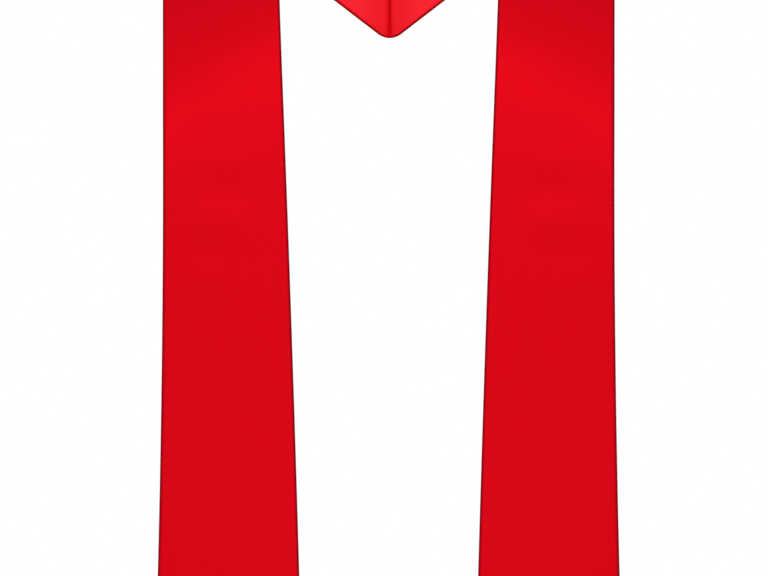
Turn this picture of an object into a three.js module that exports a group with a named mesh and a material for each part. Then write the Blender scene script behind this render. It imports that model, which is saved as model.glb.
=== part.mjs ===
// A graduation stole: two mirrored halves of satin, sewn together at the centre back and worn over both
// shoulders. Each half is a face panel outside and a lining panel against the body.
//
// Frame: +X to the wearer's left, the wearer faces -Y, +Z up. The origin lies in the middle of the neck,
// level with the inner edges where they pass over the shoulders.
//
// The form is a flat half rolled over a shoulder. The shoulder is a bent sheet whose straight lines all
// fall outwards at one slope, so the cloth bends over it without stretching. "Across" and "rise" are the
// half laid flat in the plane of its own hanging front: across is measured from the centre plane, and
// rise upwards from the apex, the point where the ridges of the two shoulders would meet.
import * as THREE from "three";

// Driving sizes, in millimetres and degrees
const SIDE_LENGTH = 696; // from the ridge of the shoulder down to where the pointed end starts
const POINT_DEPTH = 48; // of the pointed end
const NECK_WIDTH = 103.1; // of the strip from the centre back to the ridge
const END_WIDTH = 128.6; // of the strip where the pointed end starts
const END_SPREAD = 144.2; // from the centre plane to the strip's middle, where the pointed end starts
const RIDGE_SPREAD = 156.2; // the same where the strip passes over the ridge
const SHOULDER_SLOPE = 27.2; // degrees that the ridge falls outwards
const FRONT_REACH = 280; // along the cloth, from the ridge to where the front hangs plumb
const BACK_REACH = 200; // along the cloth, from the ridge to where the back bends no more
const TIP_RADIUS = 20; // of the rounded point at the centre back
const FACE_WALL = 1.2; // satin with its pressed-in stiffening
const LINING_WALL = 1.2;
const LAYER_GAP = 0.3; // between face and lining
const SEAM_GAP = 0.3; // between the halves at the centre back
const EDGE_ROLL = 4; // how far in from its edge the turned cloth reaches its full thickness

// Shape numbers, as shares
const FLARE_POWER = 1.49; // the strip widens slowly at first, and faster towards its end

// The shoulder from front to back. Lean is how far the cloth has turned from hanging plumb, in degrees,
// and reach is measured along the cloth from the ridge, as a share of FRONT_REACH or BACK_REACH.
const SHOULDER = [
  { reach: -1, lean: 0 },
  { reach: -0.68, lean: 6 },
  { reach: -0.32, lean: 20 },
  { reach: 0, lean: 90 },
  { reach: 0.38, lean: 156 },
  { reach: 0.65, lean: 166 },
  { reach: 1, lean: 168 },
];

// How finely the surfaces are divided
const COLUMNS = 4; // across the strip, between the rolled edges
const FRONT_ROWS = 8; // where the cloth hangs plumb
const RIDGE_ROWS = 20; // from there to the ridge
const BACK_ROWS = 12; // from the ridge to the seam
const ROLL_STEPS = 2; // in a rolled edge
const PROFILE_STEPS = 240; // along the shoulder's profile

const slope = THREE.MathUtils.degToRad(SHOULDER_SLOPE);
const sinSlope = Math.sin(slope);
const cosSlope = Math.cos(slope);

// The table in millimetres and radians, with the rate at which the lean changes in each row: none at
// both ends, and between them the rates before and after, each weighed by the other's length.
const bends = SHOULDER.map(({ reach, lean }) => ({
  at: reach * (reach < 0 ? FRONT_REACH : BACK_REACH),
  lean: THREE.MathUtils.degToRad(lean),
  rate: 0,
}));
for (let i = 1; i < bends.length - 1; i += 1) {
  const before = bends[i].at - bends[i - 1].at;
  const after = bends[i + 1].at - bends[i].at;
  const rateBefore = (bends[i].lean - bends[i - 1].lean) / before;
  const rateAfter = (bends[i + 1].lean - bends[i].lean) / after;
  bends[i].rate = (rateBefore * after + rateAfter * before) / (before + after);
}

// Lean at a reach, in radians: a smooth cubic curve through the rows of the table.
function leanAt(reach) {
  const held = THREE.MathUtils.clamp(reach, -FRONT_REACH, BACK_REACH);
  const next = bends.findIndex(({ at }, i) => i > 0 && held <= at);
  const from = bends[next - 1];
  const to = bends[next];
  const span = to.at - from.at;
  const t = (held - from.at) / span;
  const leaving = (1 - t) ** 2;
  const coming = t ** 2;
  return (
    from.lean * (1 + 2 * t) * leaving +
    from.rate * span * t * leaving +
    to.lean * (3 - 2 * t) * coming -
    to.rate * span * (1 - t) * coming
  );
}

// The shoulder's profile, stepped along the cloth from the ridge: back is how far it has gone backwards
// and up how far it has gone up, at a right angle to the ridge.
function walkProfile(length) {
  const step = length / PROFILE_STEPS;
  const points = [{ back: 0, up: 0 }];
  for (let i = 0; i < PROFILE_STEPS; i += 1) {
    const lean = leanAt((i + 0.5) * step);
    const { back, up } = points[i];
    points.push({ back: back + step * Math.sin(lean), up: up + step * Math.cos(lean) });
  }
  return points;
}

const frontProfile = walkProfile(-FRONT_REACH);
const backProfile = walkProfile(BACK_REACH);

// Height that the cloth loses in front by bending back over the ridge
const slack = frontProfile[PROFILE_STEPS].up + FRONT_REACH;

// A point of the profile. Past its ends the cloth runs on straight, at the lean that it has there.
function shoulderPoint(reach) {
  const lean = leanAt(reach);
  const held = THREE.MathUtils.clamp(reach, -FRONT_REACH, BACK_REACH);
  const points = held < 0 ? frontProfile : backProfile;
  const place = (Math.abs(held) / (held < 0 ? FRONT_REACH : BACK_REACH)) * PROFILE_STEPS;
  const i = Math.min(Math.floor(place), PROFILE_STEPS - 1);
  const { back, up } = points[i];
  const share = place - i;
  return {
    back: THREE.MathUtils.lerp(back, points[i + 1].back, share) + (reach - held) * Math.sin(lean),
    up: THREE.MathUtils.lerp(up, points[i + 1].up, share) + (reach - held) * Math.cos(lean),
    lean,
  };
}

// The ridge crosses the flat half in a straight line: this is its rise at a distance across, and a
// reach in front of or behind it.
function riseAt(across, reach) {
  return (slack + reach - across * sinSlope) / cosSlope;
}

// A point of a half on the body. Offset is its height over the side that lies on the body.
function onBody(across, rise, offset) {
  const along = across * cosSlope - rise * sinSlope;
  const reach = across * sinSlope + rise * cosSlope - slack;
  const { back, up, lean } = shoulderPoint(reach);
  const height = up + offset * Math.sin(lean);
  return new THREE.Vector3(
    along * cosSlope + height * sinSlope,
    back - offset * Math.cos(lean),
    height * cosSlope - along * sinSlope,
  );
}

// The flat outline of a half. The strip's middle leans outwards along a parabola from its end up to the
// ridge and runs on straight, and its width grows from the ridge down to its end.
const ridgeRise = riseAt(RIDGE_SPREAD, 0);
const endRise = ridgeRise - SIDE_LENGTH;

function stripMiddle(rise) {
  const share = (rise - endRise) / SIDE_LENGTH;
  const bend = share < 0 ? 0 : share < 1 ? share ** 2 : 2 * share - 1;
  return END_SPREAD + (RIDGE_SPREAD - END_SPREAD) * bend;
}

function stripWidth(rise) {
  const share = THREE.MathUtils.clamp((ridgeRise - rise) / SIDE_LENGTH, 0, 1);
  return NECK_WIDTH + (END_WIDTH - NECK_WIDTH) * share ** FLARE_POWER;
}

// Where a line of the strip reaches the centre seam: the line is followed over the ridge until it comes
// within half the seam's gap of the centre plane. At takes a rise and gives the line's distance across.
function seamRise(at, offset) {
  let low = ridgeRise;
  let high = riseAt(0, BACK_REACH);
  for (let i = 0; i < 40; i += 1) {
    const middle = (low + high) / 2;
    if (onBody(at(middle), middle, offset).x > SEAM_GAP / 2) {
      low = middle;
    } else {
      high = middle;
    }
  }
  return low;
}

// The rounded point at the centre back. A circle touches the outer edges of both halves, so on one half
// it starts a tangent's length before the sharp point and cuts in until it meets the seam.
const sharpRise = seamRise((rise) => stripMiddle(rise) + stripWidth(rise) / 2, 0);
const sharpPoint = onBody(stripMiddle(sharpRise) + NECK_WIDTH / 2, sharpRise, 0);
const nearSharp = onBody(stripMiddle(sharpRise) + NECK_WIDTH / 2, sharpRise - TIP_RADIUS, 0);
const edgeFall = Math.atan2(nearSharp.z - sharpPoint.z, nearSharp.x - sharpPoint.x);
const roundStart = sharpRise - TIP_RADIUS * Math.tan(edgeFall);

function tipCut(rise) {
  const past = THREE.MathUtils.clamp(rise - roundStart, 0, TIP_RADIUS);
  return TIP_RADIUS - Math.sqrt(TIP_RADIUS ** 2 - past ** 2);
}

// Rolled edges are a quarter of an ellipse: thickness as a share of the wall, for a place in the roll as
// a share of its depth.
function rollThickness(place) {
  return Math.sqrt(1 - (1 - place) ** 2);
}

// The lines that run along the strip, from its inner edge to its outer one. A line lies at a share of the
// width and a margin more or less, and full is its share of the wall.
function stripLines() {
  const lines = [];
  for (let i = 0; i < ROLL_STEPS; i += 1) {
    const place = i / ROLL_STEPS;
    lines.push({ share: 0, margin: place * EDGE_ROLL, full: rollThickness(place) });
  }
  for (let i = 0; i <= COLUMNS; i += 1) {
    const share = i / COLUMNS;
    lines.push({ share, margin: EDGE_ROLL * (1 - 2 * share), full: 1 });
  }
  for (let i = ROLL_STEPS - 1; i >= 0; i -= 1) {
    const place = i / ROLL_STEPS;
    lines.push({ share: 1, margin: -place * EDGE_ROLL, full: rollThickness(place) });
  }
  return lines;
}

function acrossAt(line, rise) {
  const width = stripWidth(rise) - tipCut(rise);
  return stripMiddle(rise) - stripWidth(rise) / 2 + line.share * width + line.margin;
}

// The rise at which a line of the strip has a given reach
function lineRise(line, reach) {
  let rise = riseAt(RIDGE_SPREAD, reach);
  for (let i = 0; i < 6; i += 1) {
    rise = riseAt(acrossAt(line, rise), reach);
  }
  return rise;
}

// The apex lies above the origin by as much as the inner edge, where it crosses the ridge, lies below it.
const innerEdge = { share: 0, margin: 0 };
const innerRise = lineRise(innerEdge, 0);
const apexHeight = -onBody(acrossAt(innerEdge, innerRise), innerRise, 0).z;

// The points along one line of the strip: its rise and its share of the wall, from the pointed end up the
// front, over the ridge and down the back to the seam.
function linePoints(line, offset) {
  const fromMiddle = Math.abs(acrossAt(line, endRise) - END_SPREAD);
  const tip = endRise - POINT_DEPTH * (1 - fromMiddle / (END_WIDTH / 2));
  const seam = seamRise((rise) => acrossAt(line, rise), offset);
  const stretches = [
    { from: tip + EDGE_ROLL, to: lineRise(line, -FRONT_REACH), rows: FRONT_ROWS },
    { from: lineRise(line, -FRONT_REACH), to: lineRise(line, 0), rows: RIDGE_ROWS },
    { from: lineRise(line, 0), to: seam - EDGE_ROLL, rows: BACK_ROWS },
  ];
  const points = [];
  for (let i = 0; i < ROLL_STEPS; i += 1) {
    const place = i / ROLL_STEPS;
    points.push({ rise: tip + place * EDGE_ROLL, full: rollThickness(place) });
  }
  stretches.forEach(({ from, to, rows }) => {
    for (let i = 0; i < rows; i += 1) {
      points.push({ rise: THREE.MathUtils.lerp(from, to, i / rows), full: 1 });
    }
  });
  for (let i = ROLL_STEPS; i >= 0; i -= 1) {
    const place = i / ROLL_STEPS;
    points.push({ rise: seam - place * EDGE_ROLL, full: rollThickness(place) });
  }
  return points;
}

// A panel is two sheets that meet all round at its rolled edges. The flat sheet lies towards the other
// panel at the offset flatAt, and the full sheet lies wall away from it, outwards if wall is positive.
function panelGeometry(flatAt, wall, side) {
  const lines = stripLines().map((line) => ({ ...line, points: linePoints(line, flatAt) }));
  const positions = [];
  [0, wall].forEach((thickness) => {
    lines.forEach((line) => {
      line.points.forEach(({ rise, full }) => {
        const offset = flatAt + thickness * Math.min(line.full, full);
        const place = onBody(acrossAt(line, rise), rise, offset);
        positions.push(place.x * side, place.y, place.z + apexHeight);
      });
    });
  });

  const rows = lines[0].points.length;
  const sheetSize = lines.length * rows;
  const fullFacesOut = wall * side > 0;
  const index = [];
  const quad = (a, b, c, d, facesOut) => {
    index.push(...(facesOut ? [a, b, c, a, c, d] : [a, c, b, a, d, c]));
  };
  for (let line = 0; line < lines.length - 1; line += 1) {
    for (let row = 0; row < rows - 1; row += 1) {
      const start = line * rows + row;
      const corners = [start, start + rows, start + rows + 1, start + 1];
      quad(...corners, !fullFacesOut);
      quad(...corners.map((corner) => corner + sheetSize), fullFacesOut);
    }
  }

  const geometry = new THREE.BufferGeometry();
  geometry.setAttribute("position", new THREE.Float32BufferAttribute(positions, 3));
  geometry.setIndex(index);
  geometry.computeVertexNormals();
  return geometry;
}

const faceSatin = { color: 0xd80c1c, roughness: 0.42, metalness: 0 };
const liningSatin = { color: 0xee2033, roughness: 0.5, metalness: 0 };

const stole = new THREE.Group();
[
  { name: "left", side: 1 },
  { name: "right", side: -1 },
].forEach(({ name, side }) => {
  const faceAt = LINING_WALL + LAYER_GAP;
  const face = new THREE.Mesh(
    panelGeometry(faceAt, FACE_WALL, side),
    new THREE.MeshStandardMaterial(faceSatin),
  );
  face.name = `${name}_face_panel`;
  const lining = new THREE.Mesh(
    panelGeometry(LINING_WALL, -LINING_WALL, side),
    new THREE.MeshStandardMaterial(liningSatin),
  );
  lining.name = `${name}_lining_panel`;
  stole.add(face, lining);
});

export default stole;
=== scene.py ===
# %% [markdown]
# # A satin graduation stole, in the form that it has when worn
#
# The real thing is a long strip of red satin in two mirrored halves. The halves hang down the front as
# two bands, pass over the shoulders and meet in a V at the centre back. Each half is two layers, a face
# and a lining, sewn together inside out, turned and pressed.
#
# The lesson starts from a frame: four plain panels that already have their real size and place. Nothing
# in Blender moves or resizes them. Each is replaced by a finer sheet that follows the same shape and adds
# what cloth has: turned edges, shallow swells, seams that pull, and the shine of satin.

import math

import bpy
import numpy as np
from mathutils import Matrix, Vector


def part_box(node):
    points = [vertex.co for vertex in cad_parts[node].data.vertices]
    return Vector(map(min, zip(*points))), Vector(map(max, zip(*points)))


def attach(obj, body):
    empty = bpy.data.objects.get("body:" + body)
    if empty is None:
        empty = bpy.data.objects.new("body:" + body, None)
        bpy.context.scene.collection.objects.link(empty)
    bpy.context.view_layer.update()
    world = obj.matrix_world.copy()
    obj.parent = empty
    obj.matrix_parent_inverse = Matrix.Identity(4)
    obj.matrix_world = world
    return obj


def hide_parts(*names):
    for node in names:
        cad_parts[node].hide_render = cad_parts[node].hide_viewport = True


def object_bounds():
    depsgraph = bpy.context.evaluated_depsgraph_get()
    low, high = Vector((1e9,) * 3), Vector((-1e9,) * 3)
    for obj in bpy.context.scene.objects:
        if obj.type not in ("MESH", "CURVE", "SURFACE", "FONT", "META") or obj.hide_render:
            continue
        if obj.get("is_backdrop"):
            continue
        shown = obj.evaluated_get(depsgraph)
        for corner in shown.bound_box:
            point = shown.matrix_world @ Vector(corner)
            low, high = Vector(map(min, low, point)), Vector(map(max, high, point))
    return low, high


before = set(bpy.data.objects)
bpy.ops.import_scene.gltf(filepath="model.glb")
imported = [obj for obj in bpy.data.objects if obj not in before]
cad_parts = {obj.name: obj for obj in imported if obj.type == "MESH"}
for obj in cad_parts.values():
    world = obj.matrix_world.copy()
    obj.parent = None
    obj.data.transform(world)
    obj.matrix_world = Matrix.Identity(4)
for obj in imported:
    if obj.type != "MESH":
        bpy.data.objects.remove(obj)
cad_bounds = [list(corner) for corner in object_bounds()]
print("nodes:", sorted(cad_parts))
print("the frame's box, in metres:", cad_bounds)

# %% [markdown]
# ## Sizes
#
# A stole is drafted from a few measures, as a pattern cutter would take them: the strip's widths, how far
# apart the bands hang, and how the shoulders slope. Everything below is worked out from these, so that a
# change here changes the whole stole. Blender works in metres.

# %% The measures
MM = 0.001
SIDE_LENGTH = 696 * MM  # from the ridge of the shoulder down to where the pointed end starts
POINT_DEPTH = 48 * MM
NECK_WIDTH = 103.1 * MM  # of the strip from the centre back to the ridge
END_WIDTH = 128.6 * MM  # of the strip where the pointed end starts
END_SPREAD = 144.2 * MM  # from the centre plane to the strip's middle, where the pointed end starts
RIDGE_SPREAD = 156.2 * MM  # the same where the strip passes over the ridge
SLOPE = math.radians(27.2)  # how much the ridge of the shoulder falls outwards
FRONT_REACH = 280 * MM  # along the cloth, from the ridge to where the front hangs plumb
BACK_REACH = 200 * MM  # along the cloth, from the ridge to where the back bends no more
TIP_RADIUS = 20 * MM  # of the rounded point at the centre back
FACE_WALL = 1.2 * MM
LINING_WALL = 1.2 * MM
LAYER_GAP = 0.3 * MM
SEAM_PRESS = 0.02 * MM  # how far each half passes the centre plane, so no light comes through the seam
EDGE_ROLL = 4 * MM  # how far in from its edge the turned cloth reaches its full thickness
FLARE_POWER = 1.49  # the strip widens slowly at first, and faster towards its end
FACE_AT = LINING_WALL + LAYER_GAP  # height of the face panel's inner side over the body

face_low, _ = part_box("left_face_panel")
FRONT_PLANE = face_low.y  # where the bands hang plumb
print(f"the bands hang {-FRONT_PLANE / MM:.1f} mm in front of the shoulders' ridge")

# %% [markdown]
# ## The camera
#
# A product photograph is taken from far away with a long lens, level with the middle of what it shows, so
# that upright edges stay upright. The photograph crops the stole: its top row cuts the bands below the
# shoulders, and its bottom row cuts them just above the points. The camera looks straight along +Y. The
# further away it stands, the longer a lens it needs for the same crop, so the distance is chosen first and
# the lens follows from the width that the picture has to cover.
#
# The centre back lies deeper than the bands, and the photograph shows it a pixel to the right of their
# middle. So the camera stands a little to one side, and a shift of the lens keeps the bands in place.

# %% The camera
PICTURE_WIDTH, PICTURE_HEIGHT = 768, 576
PIXEL = 0.9 * MM  # on the plane of the hanging bands
CENTRE_COLUMN = 388.7  # where the stole's centre plane stands in the photograph
TOP_ROW_HEIGHT = -147.3 * MM  # of the photograph's top row
CAMERA_DISTANCE = 4.0  # metres in front of the bands
CAMERA_ASIDE = 23 * MM  # how far to one side it stands
SENSOR_WIDTH = 36.0  # of the camera, in the millimetres that Blender counts lenses in
VIEW_END = 50  # metres, well past the floor's far edge

camera_data = bpy.data.cameras.new("photograph")
camera_data.sensor_width = SENSOR_WIDTH
camera_data.lens = SENSOR_WIDTH * CAMERA_DISTANCE / (PICTURE_WIDTH * PIXEL)
camera_data.shift_x = -CAMERA_ASIDE / (PICTURE_WIDTH * PIXEL)
camera_data.clip_end = VIEW_END
camera = bpy.data.objects.new("photograph", camera_data)
camera.location = (
    (PICTURE_WIDTH / 2 - CENTRE_COLUMN) * PIXEL + CAMERA_ASIDE,
    FRONT_PLANE - CAMERA_DISTANCE,
    TOP_ROW_HEIGHT - PICTURE_HEIGHT / 2 * PIXEL,
)
camera.rotation_euler = (math.pi / 2, 0, 0)
bpy.context.scene.collection.objects.link(camera)
bpy.context.scene.camera = camera
print(f"lens {camera_data.lens:.0f} mm at {tuple(round(c, 3) for c in camera.location)}")

# %% [markdown]
# ## The shoulder's profile
#
# Cloth bends one way at a time. Over a shoulder it takes the shape of a bent sheet of card: one curve from
# front to back, carried along straight lines that fall outwards at the shoulder's slope. So the whole form
# needs just one profile. It is given by its lean, which is how far the cloth has turned from hanging
# plumb: nothing at the front, a right angle on the ridge, and nearly half a turn behind.

# %% The shoulder's profile
SHOULDER_REACH = np.array([-1, -0.68, -0.32, 0, 0.38, 0.65, 1])  # shares of FRONT_REACH or BACK_REACH
SHOULDER_LEAN = np.radians([0, 6, 20, 90, 156, 166, 168])
PROFILE_POINTS = 2401  # so close that a straight line between two of them does

bend_at = np.where(SHOULDER_REACH < 0, FRONT_REACH, BACK_REACH) * SHOULDER_REACH
bend_gap = np.diff(bend_at)
bend_slope = np.diff(SHOULDER_LEAN) / bend_gap
bend_rate = np.zeros_like(bend_at)
bend_rate[1:-1] = bend_slope[:-1] * bend_gap[1:] + bend_slope[1:] * bend_gap[:-1]
bend_rate[1:-1] /= bend_gap[1:] + bend_gap[:-1]


def lean_at(reach):
    """Lean in radians at a reach: a cubic between each two rows of the table that meets their leans and
    the rates at which they change there. Nothing bends past the table's ends."""
    held = np.clip(reach, -FRONT_REACH, BACK_REACH)
    row = np.clip(np.searchsorted(bend_at, held) - 1, 0, len(bend_gap) - 1)
    t = (held - bend_at[row]) / bend_gap[row]
    leaving = (1 - t) ** 2
    coming = t**2
    return (
        SHOULDER_LEAN[row] * (1 + 2 * t) * leaving
        + bend_rate[row] * bend_gap[row] * t * leaving
        + SHOULDER_LEAN[row + 1] * (3 - 2 * t) * coming
        - bend_rate[row + 1] * bend_gap[row] * (1 - t) * coming
    )


profile_reach = np.linspace(-FRONT_REACH, BACK_REACH, PROFILE_POINTS)
step = profile_reach[1] - profile_reach[0]
lean_between = lean_at(profile_reach[:-1] + step / 2)
profile_back = np.concatenate([[0], np.cumsum(np.sin(lean_between) * step)])
profile_up = np.concatenate([[0], np.cumsum(np.cos(lean_between) * step)])
profile_back -= np.interp(0, profile_reach, profile_back)
profile_up -= np.interp(0, profile_reach, profile_up)
SLACK = profile_up[0] + FRONT_REACH  # height that the cloth loses by bending back over the ridge
print(f"front {profile_back[0] / MM:.1f} mm, back end {profile_back[-1] / MM:.1f} mm from the ridge")

# %% [markdown]
# ## From the cutting table to the body
#
# Every point of a half has two addresses. On the cutting table it lies a distance across from the centre
# plane and at a rise above the apex, the point where the two shoulders' ridges would meet. On the body it
# is where the sheet lands when it is rolled over the shoulder. Because the roll never stretches the cloth,
# widths and lengths drawn on the table stay true on the body.


# %% Rolling the cloth over the shoulder
def rise_at(across, reach):
    """Rise on the table of the point that lies so far across and has that reach: the ridge is a straight
    line on the table, and lines of equal reach run beside it."""
    return (SLACK + reach - across * math.sin(SLOPE)) / math.cos(SLOPE)


def on_body(across, rise, height, apex=0.0):
    """A table point on the body, lifted off it by a height. The table is turned by the slope so that one
    axis runs along the ridge and the other over it; the second is bent along the profile; then the turn
    is undone. The lift goes along the sheet's normal, which the lean gives."""
    sin, cos = math.sin(SLOPE), math.cos(SLOPE)
    along = across * cos - rise * sin
    reach = across * sin + rise * cos - SLACK
    lean = lean_at(reach)
    past = reach - np.clip(reach, -FRONT_REACH, BACK_REACH)
    back = np.interp(reach, profile_reach, profile_back) + past * np.sin(lean)
    up = np.interp(reach, profile_reach, profile_up) + past * np.cos(lean)
    up = up + height * np.sin(lean)
    x = along * cos + up * sin
    y = back - height * np.cos(lean)
    z = up * cos - along * sin + apex
    return np.stack([x, y, z], axis=-1)


# %% [markdown]
# ## The cut
#
# The strip's middle leans outwards along a parabola and its width flares towards the end. At the centre
# back both outer edges run into a rounded point. A cutter would draw it with a compass: a circle that
# touches both edges, so that on one half the outer edge bends in until it meets the seam squarely.

# %% The outline of a half
SEAM_HALVINGS = 40  # rounds that find the seam, each twice as close as the last
LINE_ROUNDS = 6  # rounds that find where a line of the strip has a reach

ridge_rise = rise_at(RIDGE_SPREAD, 0.0)
end_rise = ridge_rise - SIDE_LENGTH


def strip_middle(rise):
    """Distance across of the strip's middle: a parabola from its end to the ridge, and straight on."""
    share = np.maximum((rise - end_rise) / SIDE_LENGTH, 0)
    bend = np.where(share < 1, share**2, 2 * share - 1)
    return END_SPREAD + (RIDGE_SPREAD - END_SPREAD) * bend


def strip_width(rise):
    """Width of the strip: even above the ridge, and below it growing with a power of the way down."""
    share = np.clip((ridge_rise - rise) / SIDE_LENGTH, 0, 1)
    return NECK_WIDTH + (END_WIDTH - NECK_WIDTH) * share**FLARE_POWER


def seam_rise(across_of, height):
    """Rise at which lines of the strip reach the centre seam, found by halving: each line is on the near
    side at low and on the far side at high. The halves are pressed together, so they pass the centre
    plane by a hair."""
    low = np.full(np.shape(across_of(ridge_rise)), ridge_rise)
    high = np.full_like(low, rise_at(0.0, BACK_REACH))
    for _ in range(SEAM_HALVINGS):
        middle = (low + high) / 2
        near = on_body(across_of(middle), middle, height)[..., 0] > -SEAM_PRESS
        low = np.where(near, middle, low)
        high = np.where(near, high, middle)
    return low


sharp_rise = float(seam_rise(lambda rise: strip_middle(rise) + strip_width(rise) / 2, 0.0))
sharp_across = strip_middle(sharp_rise) + NECK_WIDTH / 2
fall = on_body(sharp_across, sharp_rise - TIP_RADIUS, 0.0) - on_body(sharp_across, sharp_rise, 0.0)
round_start = sharp_rise - TIP_RADIUS * fall[2] / fall[0]
SQUARE_TO_SEAM = float(fall[0] / np.linalg.norm(fall))  # of a length along the strip, by the seam
SQUARE_TO_POINT = math.cos(math.atan2(POINT_DEPTH, END_WIDTH / 2))  # the same by the pointed end
print(f"the outer edges fall {math.degrees(math.atan2(fall[2], fall[0])):.1f} degrees to the back's point")


def tip_cut(rise):
    """How far the rounded point cuts in from the outer edge: a circle's arc, tangent where it starts."""
    past = np.clip(rise - round_start, 0, TIP_RADIUS)
    return TIP_RADIUS - np.sqrt(TIP_RADIUS**2 - past**2)


def across_at(share, rise, margin=0.0):
    """Distance across of the line at a share of the strip's width, from its inner edge, plus a margin."""
    width = strip_width(rise) - tip_cut(rise)
    return strip_middle(rise) - strip_width(rise) / 2 + share * width + margin


def line_rise(share, reach, margin=0.0):
    """Rise at which a line of the strip has a reach. The line is nearly upright on the table, so a few
    rounds of working out one from the other settle it."""
    rise = np.full(np.shape(share), rise_at(RIDGE_SPREAD, reach))
    for _ in range(LINE_ROUNDS):
        rise = rise_at(across_at(share, rise, margin), reach)
    return rise


inner_ridge = float(line_rise(0.0, 0.0))
APEX = -float(on_body(across_at(0.0, inner_ridge), inner_ridge, 0.0)[2])
print(f"the apex is {APEX / MM:.1f} mm above the neck rest")

# %% [markdown]
# ## A grid over the cut
#
# The sheets are grids: lines run along the strip from the pointed end to the centre seam, and rows run
# across it. Both are crowded together at the edges, where the turned cloth rounds off within 4 mm, and
# spread evenly between them. Each line is cut into the same number of rows, which start square to the
# point, swing round to lie along the ridge, where the cloth bends, and end along the seam.

# %% The grid
ROLL_CELLS = 7  # in a turned edge
ACROSS_CELLS = 44  # between the two long edges
PLUMB_CELLS = 190  # from the pointed end to where the front bends
RIDGE_CELLS = 130  # from there to the ridge
BACK_CELLS = 90  # from the ridge to the seam


def crowded(cells):
    """Places from 0 to 1 that are close at 0, where a rounded edge turns fastest, and wide at 1."""
    return 1 - np.cos(np.linspace(0, math.pi / 2, cells + 1))


roll_at = crowded(ROLL_CELLS) * EDGE_ROLL
even = np.linspace(0, 1, ACROSS_CELLS + 1)
line_share = np.concatenate([np.zeros(ROLL_CELLS), even, np.ones(ROLL_CELLS)])
line_margin = np.concatenate([roll_at[:-1], EDGE_ROLL * (1 - 2 * even), -roll_at[-2::-1]])


def grid_of(height):
    """Table addresses of a panel's grid: across and rise, one row of the arrays for each row of the grid.
    Height is where the panel's flat side lies, because the seam's place depends on it a little."""
    at_end = across_at(line_share, end_rise, line_margin)
    tip = end_rise - POINT_DEPTH * (1 - np.abs(at_end - END_SPREAD) / (END_WIDTH / 2))
    plumb = line_rise(line_share, -FRONT_REACH, line_margin)
    ridge = line_rise(line_share, 0.0, line_margin)
    seam = seam_rise(lambda rise: across_at(line_share, rise, line_margin), height)
    stretches = [
        (tip + EDGE_ROLL, plumb, PLUMB_CELLS),
        (plumb, ridge, RIDGE_CELLS),
        (ridge, seam - EDGE_ROLL, BACK_CELLS),
    ]
    rows = [tip + place for place in roll_at[:-1]]
    for start, stop, cells in stretches:
        share = np.linspace(0, 1, cells, endpoint=False)[:, None]
        rows.extend(start + (stop - start) * share)
    rows.extend(seam - place for place in roll_at[::-1])
    rise = np.array(rows)
    return across_at(line_share, rise, line_margin), rise, tip, seam


def distance_in(across, rise, tip, seam):
    """Distance in from the nearest turned edge, long or slanting, and from the centre seam. Lengths along
    the strip are brought square to the pointed end's edge and to the seam."""
    inner = across_at(0, rise)
    outer = across_at(1, rise)
    from_point = (rise - tip) * SQUARE_TO_POINT
    from_seam = (seam - rise) * SQUARE_TO_SEAM
    return np.minimum.reduce([across - inner, outer - across, from_point]), from_seam


# %% [markdown]
# ## What cloth does by itself
#
# Pressed satin is never quite flat. Over the chest it lies in shallow swells up to three tenths of a
# millimetre high, which is enough to break up its shine. Two waves that cross at a small angle make a row
# of soft ovals, and a longer, slanting wave keeps the row from looking too regular. Along a turned edge
# the stitches draw the cloth in, and it answers with small puckers that die out within a centimetre. All
# of this lifts the cloth square to itself, and the lining moves with the face.

# %% Swells and puckers
SWELLS = [  # length of the wave, how far it is turned from upright, its height and where it starts
    {"length": 53 * MM, "turn": math.radians(15), "height": 0.10 * MM, "start": 2.55},
    {"length": 53 * MM, "turn": math.radians(-15), "height": 0.10 * MM, "start": 2.55},
    {"length": 94 * MM, "turn": math.radians(-31), "height": 0.09 * MM, "start": 5.4},
]
CHEST = -285 * MM  # reach at which the swells are highest
CHEST_SPREAD = 65 * MM  # how far from there their bell curve falls to about a third
QUIET = 0.1  # share of the swells' height that is left far from the chest
PUCKER_LENGTH = 8.5 * MM  # of one pucker, along the edge
PUCKER_HEIGHT = 0.07 * MM  # along the turned edges
PUCKER_FADE = 5 * MM  # how far in from the edge they fade to about a third
SEAM_PUCKER_HEIGHT = 0.16 * MM  # beside the centre seam
SEAM_PUCKER_FADE = 8 * MM
PACE_SWING = 0.35  # of a pucker, by which the puckers run ahead and fall behind
PACE_TURN = 0.9  # radians of that swing for each pucker
STRENGTH_MIDDLE = 0.55  # the puckers' strength, as a share of their height, swings about this
STRENGTH_SWING = 0.45
STRENGTH_TURN = 1.7  # radians of that swing for each pucker
STRENGTH_START = 1.0  # where it starts, in radians


def swell(across, rise):
    """Height of the swells: each wave is a sine of the way along its own direction. All of them arch over
    the strip's width, with nothing left at its edges, and fade away from the chest like a bell curve."""
    total = np.zeros_like(rise)
    aside = across - strip_middle(rise)
    for wave in SWELLS:
        way = rise * math.cos(wave["turn"]) + aside * math.sin(wave["turn"])
        total += wave["height"] * np.sin(2 * math.pi * way / wave["length"] + wave["start"])
    reach = across * math.sin(SLOPE) + rise * math.cos(SLOPE) - SLACK
    bell = np.exp(-(((reach - CHEST) / CHEST_SPREAD) ** 2))
    arch = 1 - (2 * aside / strip_width(rise)) ** 2
    return total * arch * (QUIET + (1 - QUIET) * bell)


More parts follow.
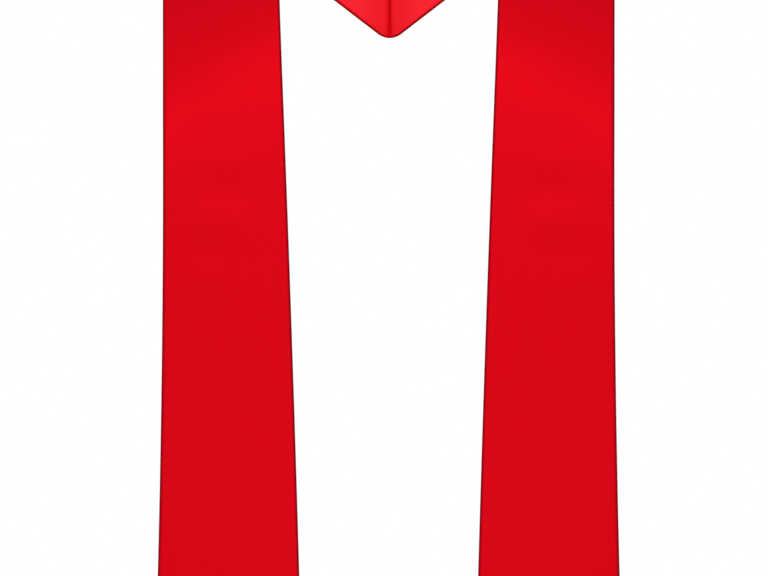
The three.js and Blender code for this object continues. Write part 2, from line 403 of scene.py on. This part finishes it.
def pucker(way, distance, height, fade):
    """Height of the puckers along an edge: a sine of the way along it, uneven because two slower sines
    change its pace and its strength, dying out with the distance from the edge."""
    count = way / PUCKER_LENGTH
    pace = count + PACE_SWING * np.sin(count * PACE_TURN)
    strength = STRENGTH_MIDDLE + STRENGTH_SWING * np.sin(count * STRENGTH_TURN + STRENGTH_START)
    return height * strength * np.sin(2 * math.pi * pace) * np.exp(-distance / fade)


# %% [markdown]
# ## From grid to sheet
#
# A panel is two sheets of the same grid that share their outermost points, so it is one closed skin with
# no side walls. The flat sheet faces the other panel. The full sheet stands off it by the wall, and rolls
# down to it at the edges along a quarter of an ellipse, as turned cloth does. Points and faces are worked
# out as whole arrays and handed to the mesh at once.
#
# Along its edges and beside the seam the cloth is painted darker: painted shade, for the shadow in the
# rolled edges and in the seam's groove. So each point also carries a number from 0 to 1 that says how much
# darker, and the satin below reads it.


# %% Making a panel
FACE_PAINTED_SHADE_WIDTH = 2.8 * MM  # of the painted shade line along a turned edge
LINING_PAINTED_SHADE_WIDTH = 3.6 * MM
SEAM_PAINTED_SHADE_AT = np.array([0, 1, 4, 13, 32]) * MM  # distances from the centre seam
SEAM_PAINTED_SHADE = [0.38, 0.37, 0.14, 0.14, 0]  # how dark the painted shade is there, from 0 to 1
SHARP_ANGLE = math.radians(60)  # faces that meet at less than this look rounded into each other


def quads(index):
    """Faces of a grid of point numbers: each cell's four corners, turning from lines to rows."""
    corners = [index[:-1, :-1], index[:-1, 1:], index[1:, 1:], index[1:, :-1]]
    return np.stack(corners, axis=-1).reshape(-1, 4)


def shade(from_edge, from_seam, width):
    """How dark the colour is painted, from 0 to 1: painted shade where the rolled edges and the seam's
    groove would be in shadow. Along a turned edge it fades as a smooth step over the width. Beside the
    seam it drops within a few millimetres, stays for a centimetre and fades."""
    place = np.clip(from_edge / width, 0, 1)
    turned = 1 - place**2 * (3 - 2 * place)
    return np.maximum(turned, np.interp(from_seam, SEAM_PAINTED_SHADE_AT, SEAM_PAINTED_SHADE))


def panel(name, flat_at, wall, side, painted_shade_width):
    """One panel of a half. Flat_at is the height of its flat side over the body, wall its thickness,
    outwards if positive, and side 1 on the wearer's left and -1 on the right, which mirrors it. The area
    of the cut is the sum of the grid's cells, each the cross product of its two sides on the table."""
    across, rise, tip, seam = grid_of(flat_at)
    from_edge, from_seam = distance_in(across, rise, tip, seam)
    nearest = np.minimum(from_edge, from_seam)
    full = np.sqrt(1 - (1 - np.clip(nearest / EDGE_ROLL, 0, 1)) ** 2)
    lift = swell(across, rise)
    lift += pucker(rise, from_edge, PUCKER_HEIGHT, PUCKER_FADE)
    lift += pucker(across, from_seam, SEAM_PUCKER_HEIGHT, SEAM_PUCKER_FADE)
    flat_sheet = on_body(across, rise, flat_at + lift, APEX)
    full_sheet = on_body(across, rise, flat_at + lift + wall * full, APEX)

    rows, lines = rise.shape
    flat_index = np.arange(rows * lines).reshape(rows, lines)
    inside = np.zeros((rows, lines), bool)
    inside[1:-1, 1:-1] = True
    full_index = flat_index.copy()
    full_index[inside] = rows * lines + np.arange(inside.sum())
    points = np.concatenate([flat_sheet.reshape(-1, 3), full_sheet[inside]])
    points[:, 0] *= side
    full_faces = quads(full_index)
    flat_faces = quads(flat_index)
    if wall * side > 0:
        flat_faces = flat_faces[:, ::-1]
    else:
        full_faces = full_faces[:, ::-1]
    faces = np.concatenate([flat_faces, full_faces])

    mesh = bpy.data.meshes.new(name)
    mesh.vertices.add(len(points))
    mesh.vertices.foreach_set("co", points.astype(np.float32).ravel())
    mesh.loops.add(faces.size)
    mesh.loops.foreach_set("vertex_index", faces.astype(np.int32).ravel())
    mesh.polygons.add(len(faces))
    mesh.polygons.foreach_set("loop_start", np.arange(0, faces.size, 4, dtype=np.int32))
    mesh.update(calc_edges=True)
    mesh.shade_smooth()
    mesh.set_sharp_from_angle(angle=SHARP_ANGLE)

    table = np.stack([across, rise], axis=-1)
    table = np.concatenate([table.reshape(-1, 2), table[inside]])
    uv = mesh.uv_layers.new(name="table")
    uv.data.foreach_set("uv", table[faces.ravel()].astype(np.float32).ravel())
    # painted shade: how much darker each point is painted along the turned edges and beside the seam, kept
    # in the "edge" attribute
    painted_shade_depth = shade(from_edge, from_seam, painted_shade_width)
    edge = mesh.attributes.new("edge", "FLOAT", "POINT")
    edge.data.foreach_set("value", np.concatenate([painted_shade_depth.ravel(), painted_shade_depth[inside]]).astype(np.float32))

    sheet = bpy.data.objects.new(name, mesh)
    bpy.context.scene.collection.objects.link(sheet)
    sideways = np.array([np.diff(across, axis=1)[:-1], np.diff(rise, axis=1)[:-1]])
    upwards = np.array([np.diff(across, axis=0)[:, :-1], np.diff(rise, axis=0)[:, :-1]])
    area = float(np.abs(sideways[0] * upwards[1] - sideways[1] * upwards[0]).sum())
    length = float(rise.max() - rise.min())
    print(f"{name}: {len(faces) * 2} triangles, cut {length:.3f} m long, {area:.4f} square metres")
    return sheet, length, area


# %% [markdown]
# ## Satin
#
# Satin shines because its threads float over each other instead of crossing at every step. The shine has
# the dye's own colour, and in even light the cloth looks nearly flat. One shader does that: a red base, a
# part of it metallic so that the reflection is red too, and hardly any white gloss. Fine threads that run
# along the strip go into a bump, and soft streaks into the colour. A ramp of three reds turns the number
# that each point carries into painted shade: darker reds in the seam's groove and along the edges. The
# lining is a lighter red than the face, and shines less.

# %% The satin
THREAD = 0.35 * MM  # width of a bundle of threads
THREAD_FLOAT = 6 * MM  # how far it floats
THREAD_DETAIL = 2  # finer layers of noise on top of the first
THREAD_RELIEF = 0.05 * MM
RELIEF_STRENGTH = 0.4  # share of that relief that the shader uses
STREAK = 3 * MM
STREAK_LENGTH = 60 * MM
STREAK_DETAIL = 3
STREAK_DEPTH = 0.05  # on the same scale from 0 to 1 as the seam's painted shade
NOISE_LOW, NOISE_HIGH = 0.25, 0.75  # between which nearly all of Blender's noise lies
WHITE_GLOSS = 0.03  # hardly any


def satin(name, colour, seam_shade_colour, edge_shade_colour, roughness, metallic):
    """A satin finish. The three colours are linear: the cloth's own, and two darker reds that are painted
    shade, the one in the groove of the centre seam and the one at its turned edges."""
    material = bpy.data.materials.new(name)
    material.use_nodes = True
    nodes, links = material.node_tree.nodes, material.node_tree.links
    shader = nodes["Principled BSDF"]
    shader.inputs["Roughness"].default_value = roughness
    shader.inputs["Metallic"].default_value = metallic
    shader.inputs["Specular IOR Level"].default_value = WHITE_GLOSS

    table = nodes.new("ShaderNodeUVMap")
    table.uv_map = "table"

    def threads(width, length, detail):
        """Noise drawn out along the strip: cells of one width and length."""
        mapping = nodes.new("ShaderNodeMapping")
        mapping.inputs["Scale"].default_value = (1 / width, 1 / length, 1)
        noise = nodes.new("ShaderNodeTexNoise")
        noise.inputs["Scale"].default_value = 1
        noise.inputs["Detail"].default_value = detail
        links.new(table.outputs["UV"], mapping.inputs["Vector"])
        links.new(mapping.outputs["Vector"], noise.inputs["Vector"])
        return noise.outputs["Fac"]

    bump = nodes.new("ShaderNodeBump")
    bump.inputs["Strength"].default_value = RELIEF_STRENGTH
    bump.inputs["Distance"].default_value = THREAD_RELIEF
    links.new(threads(THREAD, THREAD_FLOAT, THREAD_DETAIL), bump.inputs["Height"])
    links.new(bump.outputs["Normal"], shader.inputs["Normal"])

    streaks = nodes.new("ShaderNodeMapRange")
    streaks.inputs["From Min"].default_value = NOISE_LOW
    streaks.inputs["From Max"].default_value = NOISE_HIGH
    streaks.inputs["To Min"].default_value = 0
    streaks.inputs["To Max"].default_value = STREAK_DEPTH
    links.new(threads(STREAK, STREAK_LENGTH, STREAK_DETAIL), streaks.inputs["Value"])

    # the "edge" number is painted shade along the turned edges and beside the seam
    edge = nodes.new("ShaderNodeAttribute")
    edge.attribute_name = "edge"
    either = nodes.new("ShaderNodeMath")
    either.operation = "MAXIMUM"
    links.new(streaks.outputs["Result"], either.inputs[0])
    links.new(edge.outputs["Fac"], either.inputs[1])

    # painted shade: the ramp darkens the red towards the seam's and the edges' shade colours
    ramp = nodes.new("ShaderNodeValToRGB")
    ramp.color_ramp.elements[0].color = (*colour, 1)
    ramp.color_ramp.elements[1].color = (*edge_shade_colour, 1)
    ramp.color_ramp.elements.new(SEAM_PAINTED_SHADE[0]).color = (*seam_shade_colour, 1)
    links.new(either.outputs["Value"], ramp.inputs["Fac"])
    links.new(ramp.outputs["Color"], shader.inputs["Base Color"])
    return material


face_satin = satin(
    "satin_face",
    colour=(0.55, 0.0006, 0.006),
    # the next two reds are painted shade, in the seam's groove and along the turned edges
    seam_shade_colour=(0.40, 0.0003, 0.004),
    edge_shade_colour=(0.16, 0.0002, 0.003),
    roughness=0.31,
    metallic=0.5,
)
lining_satin = satin(
    "satin_lining",
    colour=(0.92, 0.021, 0.038),
    # the next two reds are painted shade, in the seam's groove and along the turned edges
    seam_shade_colour=(0.65, 0.0006, 0.004),
    edge_shade_colour=(0.13, 0.0003, 0.002),
    roughness=0.42,
    metallic=0.2,
)

# %% [markdown]
# ## The four panels
#
# Each panel takes the place of its plain node: the node stays in the frame for weight and collision, and
# the panel is what shows.

# %% The panels
for half, side in (("left", 1), ("right", -1)):
    lining, length, area = panel(
        f"{half}_lining", LINING_WALL, -LINING_WALL, side, LINING_PAINTED_SHADE_WIDTH
    )
    face, _, face_area = panel(f"{half}_face", FACE_AT, FACE_WALL, side, FACE_PAINTED_SHADE_WIDTH)
    for sheet, node, slot, finish in (
        (lining, f"{half}_lining_panel", "satin_lining", lining_satin),
        (face, f"{half}_face_panel", "satin_face", face_satin),
    ):
        sheet.data.materials.append(finish)
        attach(sheet, "root")
        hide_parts(node)

# %% [markdown]
# ## Light and floor
#
# The photograph is lit evenly, as a garment is for a catalogue. A white room lights the cloth from all
# round. A wide key light stands in front and a little higher, so the satin shines where it leans back a
# few degrees, over the chest, and gets deeper towards the shoulders. A low strip of fill light keeps the
# bands' lower parts from getting dull, and a light behind does that for the back. The floor lies just
# below the points and stays out of the photograph.

# %% The studio
scene = bpy.context.scene
scene.view_settings.view_transform = "Standard"

world = bpy.data.worlds.new("studio")
scene.world = world
world.use_nodes = True
background = world.node_tree.nodes["Background"]
background.inputs["Color"].default_value = (1, 1, 1, 1)
background.inputs["Strength"].default_value = 1.0


def soft_light(name, place, target, width, height, power):
    """An oblong area light that stands at a place and faces a target. Lengths are in metres, and the power
    is in watts."""
    data = bpy.data.lights.new(name, "AREA")
    data.shape = "RECTANGLE"
    data.size = width
    data.size_y = height
    data.energy = power
    light = bpy.data.objects.new(name, data)
    light.location = place
    light.rotation_euler = (Vector(target) - Vector(place)).to_track_quat("-Z", "Y").to_euler()
    scene.collection.objects.link(light)


soft_light("key", place=(0, -4.0, 0.36), target=(0, 0, -0.35), width=2.2, height=0.6, power=11.5)
soft_light("fill", place=(0, -3.0, -0.8), target=(0, 0, -0.6), width=1.4, height=0.2, power=2.2)
soft_light("back", place=(0, 3.0, 1.2), target=(0, 0, -0.1), width=1.2, height=1.2, power=14)

FLOOR_DROP = 25 * MM  # the points hang clear of it
FLOOR_RADIUS = 1.15  # metres
FLOOR_CORNERS = 128  # enough to look round
PALE = (0.9, 0.9, 0.9)
DULL = 0.9  # the floor's roughness
angle = np.linspace(0, 2 * math.pi, FLOOR_CORNERS, endpoint=False)
floor_level = np.full_like(angle, cad_bounds[0][2] - FLOOR_DROP)
rim = np.stack([FLOOR_RADIUS * np.cos(angle), FLOOR_RADIUS * np.sin(angle), floor_level], axis=-1)
floor_mesh = bpy.data.meshes.new("floor")
floor_mesh.from_pydata(rim.tolist(), [], [list(range(len(rim)))])
floor = bpy.data.objects.new("floor", floor_mesh)
scene.collection.objects.link(floor)
pale = bpy.data.materials.new("pale_floor")
pale.use_nodes = True
pale_shader = pale.node_tree.nodes["Principled BSDF"]
pale_shader.inputs["Base Color"].default_value = (*PALE, 1)
pale_shader.inputs["Roughness"].default_value = DULL
floor_mesh.materials.append(pale)
floor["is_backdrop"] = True

# %% Closing the scene
visual_bounds = [list(corner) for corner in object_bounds()]
grown = [max(abs(a - b) for a, b in zip(*pair)) / MM for pair in zip(cad_bounds, visual_bounds)]
print(f"the sheets and the frame's panels differ by {max(grown):.2f} mm at most")
